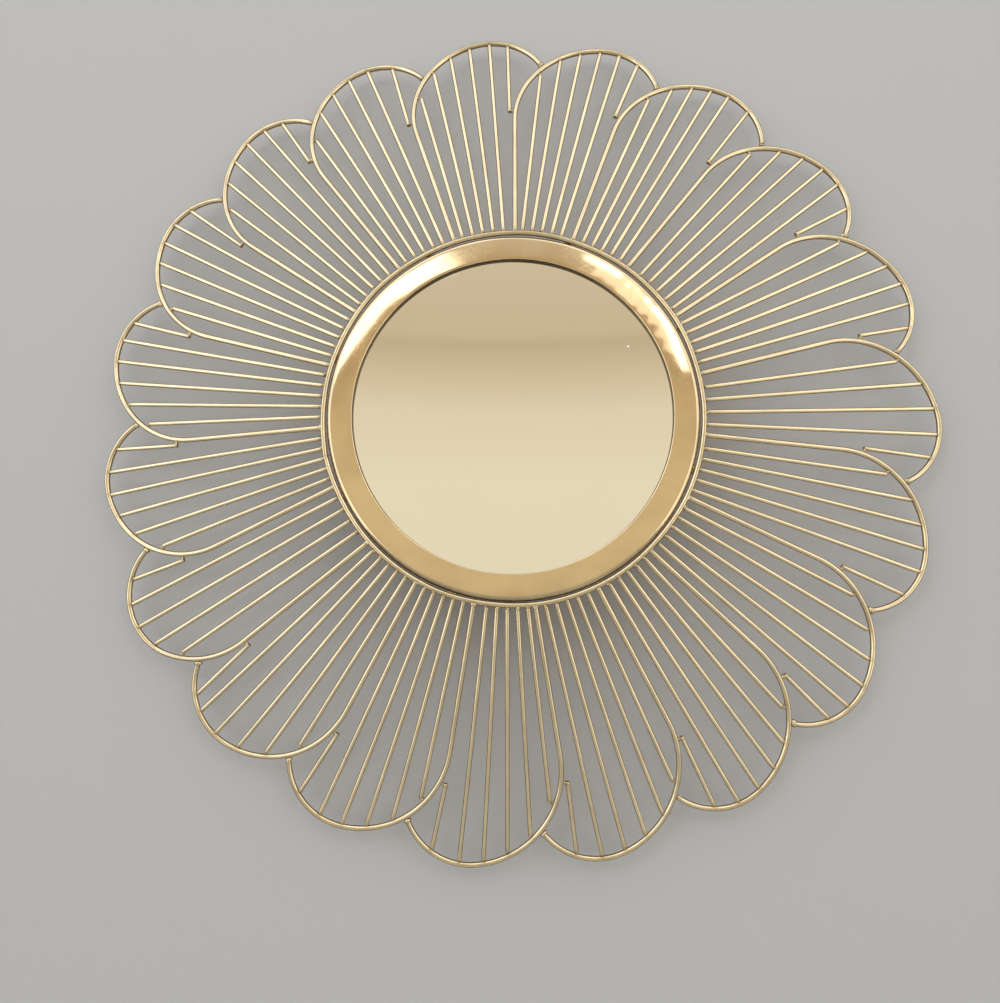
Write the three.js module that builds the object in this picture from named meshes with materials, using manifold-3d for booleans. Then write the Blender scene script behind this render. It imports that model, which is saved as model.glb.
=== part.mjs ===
// A round wall mirror in a pressed brass frame, with a flower of nineteen welded wire petals.
// Millimetres, +Z up, the mirror faces -Y and the wall is the plane y = 0 behind it.
import * as THREE from 'three';
import { mergeVertices } from 'three/addons/utils/BufferGeometryUtils.js';
import Module from 'manifold-3d';

const wasm = await Module();
wasm.setup();

// Wires
const petalWire = 3.5;
const ribWire = 3.0;
const ringWire = 3.5;
const petalSides = 6;
const ribSides = 5;
const weldGap = 0.3;
const cutGap = 0.8;
const mergeTolerance = 1e-4;

// The hoop that every wire is welded to, and the dish of the flower behind it
const ringRadius = 131.25;
const ringStandoff = 36;
const dishSlope = 0.15;
const roundSteps = 48;

// Petals: a straight leg, then two bends that carry the wire over to the next petal
const firstPetalDeg = -14;
const legDeg = -4;
const legEndRadius = 232.5;
const shoulderBend = 64;
const shoulderTurnDeg = 92;
const tipBend = 44.5;
const tipTurnMaxDeg = 120;
const bendStepDeg = 16;
const cutShare = 0.02;

// What hand bending and welding left uneven, clockwise from the top. In degrees: how far a petal
// is swung from an even pitch, how far its foot leans, where the first and the last full rib and
// the short rib meet the arc, counted from the petal's place in an even flower, and how far the
// ribs' feet are shifted. In millimetres: how far the arc stands out, and the radius at which the
// short rib is welded to the next leg. One petal is bent sooner from its first bend to its second.
const petals = [
  { ribs: 5, swing: -0.1, lean: 0.1, out: -0.5, heads: [-1.4, 10.6], short: 13.3, feet: -0.4, weld: 237 },
  { ribs: 5, swing: -0.4, lean: 0.5, out: -1.5, heads: [-0.3, 11.1], short: 14.1, feet: -0.8, weld: 244 },
  { ribs: 5, swing: -0.7, lean: -0.1, out: -1, heads: [-1.2, 9.3], short: 12.9, feet: 0, weld: 241 },
  { ribs: 5, swing: -1, lean: 0.2, out: -0.5, heads: [-1.5, 10.7], short: 14.4, feet: 1, weld: 247 },
  { ribs: 5, swing: -0.6, lean: 1.9, out: -1, heads: [-0.5, 11.6], short: 15, feet: -0.3, weld: 255 },
  { ribs: 4, swing: -0.2, lean: 1.8, out: -1, heads: [0.7, 11.4], short: 14.7, feet: 0.6, weld: 246 },
  { ribs: 5, swing: 0.2, lean: 1.2, out: -1, heads: [-0.9, 11.3], short: 15, feet: 0.8, weld: 248 },
  { ribs: 5, swing: 0.8, lean: 1, out: 0, heads: [-0.6, 12.5], short: 15.4, feet: 0.2, weld: 255 },
  { ribs: 5, swing: 0.5, lean: 1.6, out: 0, heads: [0, 12.3], short: 15.3, feet: -0.3, weld: 245 },
  { ribs: 5, swing: 0.8, lean: 1, out: 1, heads: [0, 12], short: 15.2, feet: 0.2, weld: 250 },
  { ribs: 5, swing: 0.6, lean: 1.1, out: 2, heads: [-1, 11.3], short: 15, feet: -0.8, weld: 254 },
  { ribs: 5, swing: -0.1, lean: 0.7, out: 1, heads: [-1.1, 11.3], short: 15, feet: 0, weld: 248 },
  { ribs: 5, swing: -0.3, lean: -0.1, out: -0.5, heads: [-0.7, 13.3], short: 15.3, feet: 0.2, weld: 242 },
  { ribs: 4, swing: 1.6, lean: -2.4, out: 8, heads: [2.3, 11.8], short: 14.9, feet: 0.5, weld: 254, turn: 57 },
  { ribs: 5, swing: -0.8, lean: 0.7, out: -4, heads: [-1.2, 11.7], short: 14.9, feet: -0.2, weld: 242 },
  { ribs: 5, swing: 0.2, lean: -0.6, out: -2.5, heads: [-0.5, 12.2], short: 15, feet: 0, weld: 246 },
  { ribs: 5, swing: 0.5, lean: -0.3, out: 0, heads: [-0.2, 11.9], short: 14.9, feet: -0.1, weld: 242 },
  { ribs: 5, swing: 0.2, lean: -0.5, out: 1, heads: [-0.4, 12.2], short: 15, feet: -0.4, weld: 253 },
  { ribs: 5, swing: -0.2, lean: 0, out: 1, heads: [-1.3, 11], short: 14.6, feet: -0.3, weld: 241 },
];
const petalPitchDeg = 360 / petals.length;
const footRadius = ringRadius + ringWire / 2 + weldGap;

// Pressed frame: a pan of thin sheet with a rounded shoulder, a flat band and a lip
const sheet = 1.2;
const panRadius = 129;
const shoulderRadius = 4;
const crestStandoff = 38.4;
const lipRadius = 110.5;
const lipStandoff = 38.6;
const lipDepth = 2.6;

// Glass bonded behind the lip, and the board that closes the back
const glassRadius = 115;
const glassThickness = 3;
const boardThickness = 4;

const finishes = {
  ribs: { color: 0xd8c08a, metalness: 1, roughness: 0.28 },
  frame: { color: 0xcfae6c, metalness: 1, roughness: 0.12 },
  glass: { color: 0xe4dcc6, metalness: 1, roughness: 0.02 },
  board: { color: 0x4a4038, metalness: 0, roughness: 0.85 },
};

// A closed mesh as a solid, and back again
function solidOf(geometry) {
  const bare = geometry.index ? geometry.toNonIndexed() : geometry.clone();
  bare.deleteAttribute('normal');
  bare.deleteAttribute('uv');
  const merged = mergeVertices(bare, mergeTolerance);
  const mesh = new wasm.Mesh({
    numProp: 3,
    vertProperties: new Float32Array(merged.attributes.position.array),
    triVerts: new Uint32Array(merged.index.array),
  });
  return new wasm.Manifold(mesh);
}

function geometryOf(solid) {
  const mesh = solid.getMesh();
  const geometry = new THREE.BufferGeometry();
  geometry.setAttribute('position', new THREE.BufferAttribute(mesh.vertProperties, 3));
  geometry.setIndex(new THREE.BufferAttribute(mesh.triVerts, 1));
  geometry.computeVertexNormals();
  return geometry;
}

// A wire runs through its own points, with one step from each to the next
class WirePath extends THREE.Curve {
  constructor(points) {
    super();
    this.points = points;
  }

  getPoint(t) {
    const step = t * (this.points.length - 1);
    const from = Math.min(Math.floor(step), this.points.length - 2);
    return this.points[from].clone().lerp(this.points[from + 1], step - from);
  }

  getUtoTmapping(u) {
    return u;
  }
}

function wireAlong(points, diameter, sides) {
  const corners = [];
  for (let side = 0; side < sides; side += 1) {
    corners.push(flat(diameter / 2, (-360 * side) / sides));
  }
  const section = new THREE.Shape(corners);
  return new THREE.ExtrudeGeometry(section, {
    steps: points.length - 1,
    extrudePath: new WirePath(points),
    bevelEnabled: false,
  });
}

// The flower is drawn flat, as seen from the front, with angles clockwise from the top, and each
// point is then set back towards the wall by the dish
function flat(radius, degrees) {
  const angle = THREE.MathUtils.degToRad(degrees);
  return new THREE.Vector2(radius * Math.sin(angle), radius * Math.cos(angle));
}

function dished(point) {
  const setBack = dishSlope * (point.length() - ringRadius);
  return new THREE.Vector3(point.x, setBack - ringStandoff, point.y);
}

// Points round a bend that starts at a place and a heading, both clockwise from the top
function bend(start, headingDeg, radius, turnDeg) {
  const across = flat(1, headingDeg + 90);
  const centre = start.clone().addScaledVector(across, radius);
  const steps = Math.ceil(turnDeg / bendStepDeg);
  const points = [];
  for (let step = 1; step <= steps; step += 1) {
    const heading = headingDeg + (turnDeg * step) / steps;
    points.push(centre.clone().addScaledVector(flat(1, heading + 90), -radius));
  }
  return points;
}

function evenAngle(index) {
  return firstPetalDeg + petalPitchDeg * index;
}

function legAngle(index) {
  return evenAngle(index) + legDeg + petals[index % petals.length].swing;
}

function footAngle(index) {
  return legAngle(index) + petals[index % petals.length].lean;
}

function shoulderTurn(index) {
  return petals[index % petals.length].turn ?? shoulderTurnDeg;
}

// The petal wire with an end still to be cut where it meets the next petal
function uncutPetal(index) {
  const leg = legAngle(index);
  const turn = shoulderTurn(index);
  const foot = flat(footRadius, footAngle(index));
  const legEnd = flat(legEndRadius + petals[index % petals.length].out, leg);
  const shoulder = bend(legEnd, leg, shoulderBend, turn);
  const tipStart = shoulder[shoulder.length - 1];
  const tip = bend(tipStart, leg + turn, tipBend, tipTurnMaxDeg);
  return [foot, legEnd, ...shoulder, ...tip];
}

function nearestOn(line, point) {
  let best = { distance: Infinity };
  for (let i = 0; i + 1 < line.length; i += 1) {
    const along = line[i + 1].clone().sub(line[i]);
    const share = THREE.MathUtils.clamp(point.clone().sub(line[i]).dot(along) / along.lengthSq(), 0, 1);
    const spot = line[i].clone().addScaledVector(along, share);
    const distance = spot.distanceTo(point);
    if (distance < best.distance) {
      best = { distance, spot, direction: along.normalize() };
    }
  }
  return best;
}

// The petal wire, cut square where it butts against the next petal's wire
function petalPath(index) {
  const wire = uncutPetal(index);
  const next = uncutPetal(index + 1);
  const clearance = petalWire / 2 + cutGap;
  const shoulderPoints = 2 + Math.ceil(shoulderTurn(index) / bendStepDeg);
  const path = wire.slice(0, shoulderPoints);
  for (let i = shoulderPoints; i < wire.length; i += 1) {
    const before = wire[i - 1];
    for (let share = cutShare; share <= 1; share += cutShare) {
      const end = before.clone().lerp(wire[i], share);
      if (nearestOn(next, end).distance <= clearance) {
        path.push(end);
        return path;
      }
    }
    path.push(wire[i]);
  }
  return path;
}

// Where a line at a given angle meets the petal's arc
function arcAt(path, degrees) {
  const ray = flat(1, degrees);
  for (let i = path.length - 1; i > 1; i -= 1) {
    const a = path[i - 1].cross(ray);
    const b = path[i].cross(ray);
    if (a * b <= 0) {
      return path[i - 1].clone().lerp(path[i], a / (a - b));
    }
  }
  return path[path.length - 1].clone();
}

function fullRibs(index, path) {
  const { ribs: count, heads: [first, last], feet } = petals[index];
  const ribs = [];
  for (let rib = 0; rib < count; rib += 1) {
    const headShare = rib / (count - 1);
    const footShare = (rib + 1) / (count + 1);
    const head = arcAt(path, evenAngle(index) + THREE.MathUtils.lerp(first, last, headShare));
    const footDeg = THREE.MathUtils.lerp(footAngle(index), footAngle(index + 1), footShare) + feet;
    ribs.push([flat(footRadius, footDeg), head]);
  }
  return ribs;
}

// The short rib runs in from the arc and stops beside the next petal's leg
function shortRibPath(index, path) {
  const next = uncutPetal(index + 1);
  const head = arcAt(path, evenAngle(index) + petals[index].short);
  const onLeg = nearestOn(next, flat(petals[index].weld, legAngle(index + 1)));
  const outwards = new THREE.Vector2(-onLeg.direction.y, onLeg.direction.x);
  const clearance = (petalWire + ribWire) / 2 + weldGap;
  return [onLeg.spot.clone().addScaledVector(outwards, clearance), head];
}

function petalSolid(index) {
  const path = petalPath(index);
  let solid = solidOf(wireAlong(path.map(dished), petalWire, petalSides));
  for (const rib of [...fullRibs(index, path), shortRibPath(index, path)]) {
    solid = solid.add(solidOf(wireAlong(rib.map(dished), ribWire, ribSides)));
  }
  return solid;
}

// Turned parts: a closed outline of radius and y, carried round the middle
function turned(outline) {
  const points = outline.map(([radius, y]) => new THREE.Vector2(radius, y));
  points.push(points[0].clone());
  return new THREE.LatheGeometry(points, roundSteps);
}

function frameOutline() {
  const shoulderCentre = [panRadius - shoulderRadius, shoulderRadius - crestStandoff];
  const corner = (radius, degrees) => [
    shoulderCentre[0] + radius * Math.cos(THREE.MathUtils.degToRad(degrees)),
    shoulderCentre[1] - radius * Math.sin(THREE.MathUtils.degToRad(degrees)),
  ];
  const inner = shoulderRadius - sheet;
  return [
    [panRadius - sheet, 0],
    corner(inner, 0),
    corner(inner, 90),
    [lipRadius + sheet, -lipStandoff + sheet],
    [lipRadius + sheet, -lipStandoff + lipDepth],
    [lipRadius, -lipStandoff + lipDepth],
    [lipRadius, -lipStandoff + sheet / 2],
    [lipRadius + sheet, -lipStandoff],
    ...[90, 45, 0].map((degrees) => corner(shoulderRadius, degrees)),
    [panRadius, 0],
  ];
}

function disc(radius, front, thickness) {
  const back = front + thickness;
  const points = [[0, front], [radius, front], [radius, back], [0, back]]
    .map(([across, y]) => new THREE.Vector2(across, y));
  return new THREE.LatheGeometry(points, roundSteps);
}

const mirror = new THREE.Group();

function addPiece(name, geometry, finish) {
  const mesh = new THREE.Mesh(geometry, new THREE.MeshStandardMaterial(finish));
  mesh.name = name;
  mirror.add(mesh);
  return mesh;
}

const glassFront = -lipStandoff + lipDepth + weldGap;
addPiece('mirror_frame', turned(frameOutline()), finishes.frame);
addPiece('mirror_glass', disc(glassRadius, glassFront, glassThickness), finishes.glass);
addPiece('back_board', disc(panRadius - sheet - weldGap, -boardThickness, boardThickness), finishes.board);

const hoop = new THREE.TorusGeometry(ringRadius, ringWire / 2, petalSides, roundSteps);
const ring = addPiece('ring_wire', hoop, finishes.ribs);
ring.rotation.x = Math.PI / 2;
ring.position.y = -ringStandoff;

petals.forEach((petal, index) => {
  const number = String(index + 1).padStart(2, '0');
  addPiece(`petal_${number}`, geometryOf(petalSolid(index)), finishes.ribs);
});

export default mirror;
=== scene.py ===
# A round wall mirror in a pressed brass frame, with a flower of nineteen welded wire petals.
# Metres, +Z up. The mirror faces -Y and hangs on the wall plane y = 0.
import bpy
import numpy as np
from mathutils import Matrix, Vector


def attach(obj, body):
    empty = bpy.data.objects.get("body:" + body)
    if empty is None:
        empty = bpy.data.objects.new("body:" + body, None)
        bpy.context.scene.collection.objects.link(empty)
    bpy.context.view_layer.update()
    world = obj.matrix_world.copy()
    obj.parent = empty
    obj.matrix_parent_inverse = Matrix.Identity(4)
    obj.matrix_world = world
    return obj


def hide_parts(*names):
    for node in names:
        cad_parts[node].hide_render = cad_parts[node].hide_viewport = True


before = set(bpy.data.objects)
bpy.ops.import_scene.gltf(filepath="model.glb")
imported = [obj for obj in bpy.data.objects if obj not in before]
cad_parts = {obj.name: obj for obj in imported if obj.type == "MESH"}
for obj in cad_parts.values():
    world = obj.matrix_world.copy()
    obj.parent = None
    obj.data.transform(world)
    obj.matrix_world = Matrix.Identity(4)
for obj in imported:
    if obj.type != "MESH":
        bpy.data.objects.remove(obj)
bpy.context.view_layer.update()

# The view. The camera is close in front of the mirror, a little below its middle, and looks
# slightly up, which gives the wide view of the flower that the photograph has.
CAMERA_PLACE = Vector((0.007146, -0.473064, -0.114748))
CAMERA_RIGHT = Vector((0.999413, 0.034191, 0.002070))
CAMERA_AHEAD = Vector((-0.034191, 0.992108, 0.120633))
CAMERA_LENS_MM = 23.4
CAMERA_SENSOR_MM = 36.0

lens = bpy.data.cameras.new("camera")
lens.lens = CAMERA_LENS_MM
lens.sensor_width = CAMERA_SENSOR_MM
lens.sensor_fit = "HORIZONTAL"
lens.clip_start = 0.01
camera = bpy.data.objects.new("camera", lens)
camera_up = CAMERA_RIGHT.cross(CAMERA_AHEAD)
turn = Matrix((CAMERA_RIGHT, camera_up, -CAMERA_AHEAD)).transposed().to_4x4()
camera.matrix_world = Matrix.Translation(CAMERA_PLACE) @ turn
bpy.context.scene.collection.objects.link(camera)
bpy.context.scene.camera = camera


# The light. A pale studio: softboxes and cards that the frame's crowned band catches and the
# glass doesn't, one softbox behind for the board, and a warm surround with small lamps that the
# wires mirror. The camera sees a plain pale backdrop in place of the surround.

# Each softbox's place, the direction of its first side, its two sizes, radiance and colour
SOFTBOXES = {
    "left_softbox": ((-0.428, -0.927, 0.571), (-0.259, 0.590, 0.765), (0.229, 0.565), 2.3,
                     (1.0, 1.0, 0.98)),
    "right_softbox": ((0.360, -0.951, 0.580), (-0.854, -0.004, 0.520), (0.364, 0.264), 0.95,
                      (1.0, 0.97, 0.90)),
    "upper_card": ((0.266, -0.894, 0.688), (-0.865, 0.171, 0.472), (0.139, 0.139), 2.2,
                   (1.0, 0.98, 0.93)),
    "lower_card": ((0.472, -0.926, 0.495), (-0.324, 0.355, 0.877), (0.234, 0.160), 2.2,
                   (1.0, 0.98, 0.93))}

# The surround's tones in front of the mirror, by the height of the direction from -1 to 1
SURROUND_TONES = [
    (-0.60, (0.50, 0.44, 0.34)), (-0.10, (0.80, 0.71, 0.52)), (0.146, (0.824, 0.738, 0.52)),
    (0.254, (0.784, 0.664, 0.459)), (0.350, (0.56, 0.44, 0.28)), (0.362, (0.62, 0.49, 0.32)),
    (0.45, (0.64, 0.52, 0.35)), (0.50, (0.72, 0.64, 0.50)), (1.0, (0.85, 0.80, 0.70))]
SURROUND_FRONT = (0.0, -0.98, 0.17)
SURROUND_EDGE_DEG = (48, 76)
SIDE_TONE = (0.15, 0.125, 0.085, 1.0)
REAR = (0.0, 1.0, 0.0)
REAR_TONE = (0.22, 0.20, 0.17, 1.0)
REAR_EDGE_DEG = (45, 75)
BACKDROP_TONE = (0.62, 0.62, 0.60, 1.0)
REAR_SOFTBOX = ((0.4, 1.3, 0.7), (1.0, 0.0, 0.0), (0.8, 0.8), 10.0, (1.0, 1.0, 1.0))

# Each lamp's direction and glow, and the degrees at which it starts to fade and is gone
LAMPS = [
    ((-0.80, -0.45, 0.42), (1.7, 1.8, 1.9), 19, 33),
    ((0.80, -0.45, 0.42), (1.65, 1.65, 1.6), 17, 31),
    ((-0.36, -0.42, 0.85), (1.65, 1.7, 1.75), 14, 26),
    ((0.34, -0.42, 0.85), (1.6, 1.6, 1.55), 14, 26),
    ((-0.76, -0.60, -0.25), (2.0, 2.0, 2.0), 15, 29),
    ((0.80, -0.55, -0.20), (1.7, 1.65, 1.55), 15, 29)]


def add_node(tree, kind, sockets=None, **settings):
    """Adds a shader node with its settings, and gives each named input its value or its link."""
    made = tree.nodes.new(kind)
    for key, value in settings.items():
        setattr(made, key, value)
    for key, value in (sockets or {}).items():
        if isinstance(value, bpy.types.NodeSocket):
            tree.links.new(value, made.inputs[key])
        else:
            made.inputs[key].default_value = value
    return made


def softbox(name, place, side_way, size, radiance, colour):
    """A rectangular light that faces the middle of the mirror, with one side along a direction.
    Its power is its radiance times its area times pi."""
    data = bpy.data.lights.new(name, "AREA")
    data.shape = "RECTANGLE"
    data.size, data.size_y = size
    data.energy = radiance * size[0] * size[1] * np.pi
    data.color = colour
    light = bpy.data.objects.new(name, data)
    away = Vector(place).normalized()
    side = (Vector(side_way) - away * away.dot(Vector(side_way))).normalized()
    turn = Matrix((side, away.cross(side), away)).transposed().to_4x4()
    light.matrix_world = Matrix.Translation(place) @ turn
    light.visible_camera = False
    bpy.context.scene.collection.objects.link(light)
    return light


for name, values in SOFTBOXES.items():
    softbox(name, *values)
softbox("rear_softbox", *REAR_SOFTBOX).visible_glossy = False

surround = bpy.data.worlds.new("surround")
surround.use_nodes = True
sky = surround.node_tree
sky.nodes.clear()
direction = add_node(sky, "ShaderNodeTexCoord").outputs["Generated"]
parts = add_node(sky, "ShaderNodeSeparateXYZ", {0: direction})
height = add_node(sky, "ShaderNodeMapRange", {"Value": parts.outputs["Z"], "From Min": -1.0})
ramp = add_node(sky, "ShaderNodeValToRGB", {0: height.outputs[0]})
for number, (tone_height, tone) in enumerate(SURROUND_TONES):
    place = (tone_height + 1) / 2
    stops = ramp.color_ramp.elements
    stop = stops[number] if number < 1 else stops.new(place)
    stop.position = place
    stop.color = (*tone, 1.0)
ramp.color_ramp.elements.remove(ramp.color_ramp.elements[-1])


def near_to(aim, whole_deg, gone_deg):
    """How near the direction seen is to an aim: 1 within the whole angle, 0 past the gone one."""
    nearness = add_node(sky, "ShaderNodeVectorMath", {
        0: direction, 1: Vector(aim).normalized()}, operation="DOT_PRODUCT")
    amount = add_node(sky, "ShaderNodeMapRange", {
        "Value": nearness.outputs["Value"], "From Min": np.cos(np.radians(gone_deg)),
        "From Max": np.cos(np.radians(whole_deg))}, interpolation_type="SMOOTHSTEP")
    return amount.outputs[0]


front = near_to(SURROUND_FRONT, *SURROUND_EDGE_DEG)
lit = add_node(sky, "ShaderNodeMix", {
    0: front, 6: SIDE_TONE, 7: ramp.outputs[0]}, data_type="RGBA").outputs[2]
for aim, glow, whole_deg, gone_deg in LAMPS:
    lit = add_node(sky, "ShaderNodeMix", {
        0: near_to(aim, whole_deg, gone_deg), 6: lit, 7: (*glow, 1.0)}, data_type="RGBA").outputs[2]
lit = add_node(sky, "ShaderNodeMix", {
    0: near_to(REAR, *REAR_EDGE_DEG), 6: lit, 7: REAR_TONE}, data_type="RGBA").outputs[2]
seen = add_node(sky, "ShaderNodeLightPath").outputs["Is Camera Ray"]
shown = add_node(sky, "ShaderNodeMix", {0: seen, 6: lit, 7: BACKDROP_TONE}, data_type="RGBA")
back = add_node(sky, "ShaderNodeBackground", {0: shown.outputs[2], 1: 1.0})
add_node(sky, "ShaderNodeOutputWorld", {0: back.outputs[0]})
bpy.context.scene.world = surround
bpy.context.scene.view_settings.view_transform = "Standard"


# The wall and the floor. The wall is a plain painted one that the mirror's back lies on. It is
# only there from the front, so that the back of the mirror can be seen from behind it, and only
# there for the eye, so that it isn't mirrored in the sides of the wires, which stay dark.
WALL_BEHIND = 0.0006
WALL_HALF_WIDTH = 2.5
FLOOR_DROP = 1.25
CEILING_RISE = 2.2
ROOM_DEPTH = 3.0
WALL_PAINT = (0.42, 0.425, 0.44, 1.0)
FLOOR_PAINT = (0.66, 0.65, 0.63, 1.0)
PAINT_ROUGHNESS = 0.9


def made_mesh(name, points, faces, smooth=True):
    """A new mesh object from arrays of points and of the point numbers round each face."""
    mesh = bpy.data.meshes.new(name)
    mesh.from_pydata(np.asarray(points, float).tolist(), [], [list(map(int, f)) for f in faces])
    mesh.polygons.foreach_set("use_smooth", np.full(len(mesh.polygons), smooth))
    mesh.update()
    made = bpy.data.objects.new(name, mesh)
    bpy.context.scene.collection.objects.link(made)
    return made


def new_material(name, **plain):
    """A material with one Principled shader, whose plain values are given by input name."""
    material = bpy.data.materials.new(name)
    material.use_nodes = True
    shader = material.node_tree.nodes["Principled BSDF"]
    for key, value in plain.items():
        shader.inputs[key.replace("_", " ").title()].default_value = value
    return material, material.node_tree, shader


def painted(name, colour, for_the_eye_alone):
    """Plain matt paint, seen from the front only. Paint for the eye alone isn't mirrored."""
    material, tree, shader = new_material(name, base_color=colour, roughness=PAINT_ROUGHNESS)
    hidden = add_node(tree, "ShaderNodeNewGeometry").outputs["Backfacing"]
    if for_the_eye_alone:
        seen = add_node(tree, "ShaderNodeLightPath").outputs["Is Camera Ray"]
        mirrored = add_node(tree, "ShaderNodeMath", {0: 1.0, 1: seen}, operation="SUBTRACT")
        hidden = add_node(tree, "ShaderNodeMath", {
            0: hidden, 1: mirrored.outputs[0]}, operation="MAXIMUM").outputs[0]
    clear = add_node(tree, "ShaderNodeBsdfTransparent")
    either = add_node(tree, "ShaderNodeMixShader", {
        0: hidden, 1: shader.outputs[0], 2: clear.outputs[0]})
    tree.links.new(either.outputs[0], tree.nodes["Material Output"].inputs["Surface"])
    return material


wide, back_y, front_y = WALL_HALF_WIDTH, WALL_BEHIND, -ROOM_DEPTH
wall = made_mesh("wall", [
    (-wide, back_y, -FLOOR_DROP), (wide, back_y, -FLOOR_DROP),
    (wide, back_y, CEILING_RISE), (-wide, back_y, CEILING_RISE)], [(0, 1, 2, 3)], False)
floor = made_mesh("floor", [
    (-wide, front_y, -FLOOR_DROP), (wide, front_y, -FLOOR_DROP),
    (wide, back_y, -FLOOR_DROP), (-wide, back_y, -FLOOR_DROP)], [(0, 1, 2, 3)], False)
wall.data.materials.append(painted("wall_paint", WALL_PAINT, True))
floor.data.materials.append(painted("floor_paint", FLOOR_PAINT, False))


# The mirror glass. One round pane of silvered float glass, bonded behind the frame's lip. It is
# clean and flat, with a few specks of dust and the faintest smear.
SILVER_TINT = (0.95, 0.94, 0.90, 1.0)
SMEARED_TINT = (0.9215, 0.9118, 0.873, 1.0)
GLASS_ROUGHNESS = 0.012
SMEARED_ROUGHNESS = 0.05
SMEAR_SIZE = 0.05
SMEAR_RANGE = (0.45, 0.75)
SPECK_SPACING = 0.027
SPECK_RADIUS = 0.0007
SPECKLESS_SHARE = 0.55
DUST_ROUGHNESS = 0.55

silvering, tree, shader = new_material("silvered_glass", metallic=1.0)
where = add_node(tree, "ShaderNodeTexCoord").outputs["Object"]
smear = add_node(tree, "ShaderNodeTexNoise", {
    "Vector": where, "Scale": 1 / SMEAR_SIZE, "Detail": 4.0, "Roughness": 0.6})
cells = add_node(tree, "ShaderNodeTexVoronoi", {"Vector": where, "Scale": 1 / SPECK_SPACING})
luck = add_node(tree, "ShaderNodeSeparateColor", {0: cells.outputs["Color"]})
speck_size = add_node(tree, "ShaderNodeMapRange", {
    "Value": luck.outputs[0], "From Min": SPECKLESS_SHARE,
    "To Max": SPECK_RADIUS / SPECK_SPACING})
speck = add_node(tree, "ShaderNodeMath", {
    0: cells.outputs["Distance"], 1: speck_size.outputs[0]}, operation="LESS_THAN")
smeared = add_node(tree, "ShaderNodeMapRange", {
    "Value": smear.outputs["Fac"], "From Min": SMEAR_RANGE[0], "From Max": SMEAR_RANGE[1],
    "To Min": GLASS_ROUGHNESS, "To Max": SMEARED_ROUGHNESS})
add_rough = add_node(tree, "ShaderNodeMix", {
    0: speck.outputs[0], 2: smeared.outputs[0], 3: DUST_ROUGHNESS})
tree.links.new(add_rough.outputs[0], shader.inputs["Roughness"])
tint = add_node(tree, "ShaderNodeMix", {
    0: smear.outputs["Fac"], 6: SILVER_TINT, 7: SMEARED_TINT}, data_type="RGBA")
tree.links.new(tint.outputs[2], shader.inputs["Base Color"])
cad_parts["mirror_glass"].data.materials.clear()
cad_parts["mirror_glass"].data.materials.append(silvering)


# The mirror frame. One ring of thin brass sheet, pressed over a former: a deep pan wall, a round
# shoulder, a slightly crowned band and a lip round the glass. It is polished by hand and lacquered.
# Its colour has painted shade on the lip's inner wall, for the deep reveal round the glass, and
# painted shade and dark reflection on the shoulder and by the gap to the ring.
SHEET = 0.0012
PAN_RADIUS = 0.129
SHOULDER_RADIUS = 0.004
CREST_STANDOFF = 0.0381
CROWN_DEG = 4.6
CROWN_POWER = 1.3
BAND_START = PAN_RADIUS - SHOULDER_RADIUS
LIP_RADIUS = 0.1105
LIP_STANDOFF = 0.0386
LIP_DEPTH = 0.0026
LIP_ROLL = 0.0007
FRAME_STEPS = 960
NOTCH_DEG = 297.0
NOTCH_DEPTH = 0.0004
NOTCH_SPREAD = 0.006
LIP_SPREAD = 0.0006
LIP_SLACK = 0.00005
LIP_EDGE = 0.0004
# The dark tone below is painted shade and dark reflection, laid where the masks further on say.
POLISHED = (0.77, 0.61, 0.395, 1.0)
PAINTED_SHADE_TONE = (0.095, 0.066, 0.028, 1.0)
CREVICE_ALONG = 0.0345
CREVICE_REACH = 0.0030
CREVICE_SHADE = 0.9
LIP_SHADE = 3.0
SHOULDER_REFLECTION = 0.5
SHOULDER_OUT = 0.0030
SHOULDER_SPREAD = 0.0016
LEAST_SHOULDER_REFLECTION = 0.30
DARKEST_REFLECTION_AT = 3.75
DARKEST_REFLECTION_SPREAD = 0.75
FRONT_FROM = 0.030
FRONT_BLEND = 0.006
HAND_WAVES = [(0.00005, 5, 1.0, 40), (0.00005, 9, 2.3, -90), (0.00004, 17, 0.4, 160)]
RIPPLE_HEIGHT = 0.000028
RIPPLES_AT = 0.85
RIPPLES_SPREAD = 0.45
DRAWN_HEIGHT = 0.00003
SPUN_RADIUS = 0.1
WHEEL_LINES = (2600.0, 60.0, 60.0)
WHEEL_ROUGHNESS = (0.06, 0.12)
DARKENED_ROUGHNESS = 0.22
SCRATCH_ROUGHNESS = 0.10
SCRATCH_DEPTH = -0.6
SCRATCH_TILTS = (0.35, 1.45, 2.5)
CLOUD_SHARE = 0.16
GRAIN_SCALE = 420.0
GRAIN_SHARES = (0.45, 1.15)


def grid_faces(rows, columns, closed_rows):
    """Quads between neighbouring points of a grid whose columns close on themselves."""
    row = np.arange(rows if closed_rows else rows - 1)[:, None]
    column = np.arange(columns)[None, :]
    next_row = (row + 1) % rows
    next_column = (column + 1) % columns
    corners = [row * columns + column, next_row * columns + column,
               next_row * columns + next_column, row * columns + next_column]
    return np.stack([np.broadcast_to(c, (len(row), columns)) for c in corners], -1).reshape(-1, 4)


def arc_points(centre, radius, start, end, steps):
    """Points round a part of a circle in the radius and depth plane, from one angle to another."""
    angle = np.radians(np.linspace(start, end, steps))
    return np.stack([centre[0] + radius * np.cos(angle), centre[1] - radius * np.sin(angle)], -1)


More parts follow.
